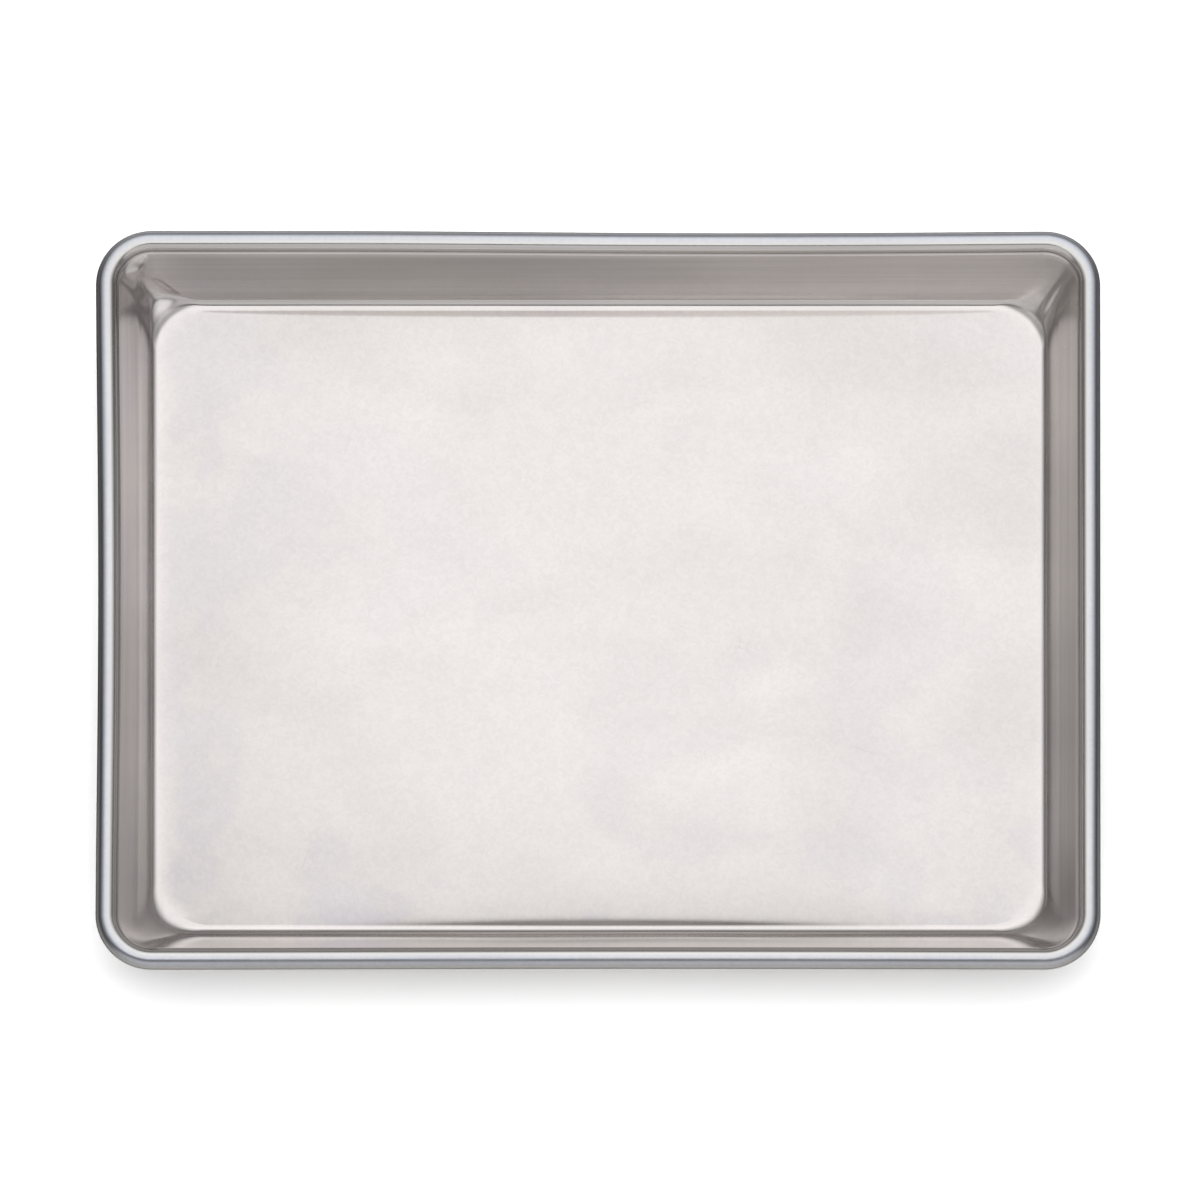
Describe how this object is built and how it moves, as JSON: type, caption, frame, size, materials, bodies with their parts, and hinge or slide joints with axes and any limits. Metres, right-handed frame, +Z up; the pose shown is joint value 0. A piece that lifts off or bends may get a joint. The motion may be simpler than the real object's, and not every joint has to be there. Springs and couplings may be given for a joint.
{
  "type": "jelly roll pan",
  "caption": "Shallow rectangular aluminium baking tray with outward leaning walls, rounded corners and a wire-stiffened curled rim.",
  "frame": {"origin": "centre of the underside of the floor, on the surface that the pan stands on", "axes": "+X along the length, +Y across the width towards the wire's joint, +Z up towards the rim"},
  "size_m": [0.33, 0.25, 0.028],
  "materials": {
    "sheet_aluminium": "uncoated satin sheet, lightly brushed floor, smoother drawn walls and a polished rim",
    "galvanised_wire": "dull zinc-coated steel wire"
  },
  "bodies": {
    "root": {"pan_shell": "sheet_aluminium", "rim_wire": "galvanised_wire"}
  },
  "joints": []
}
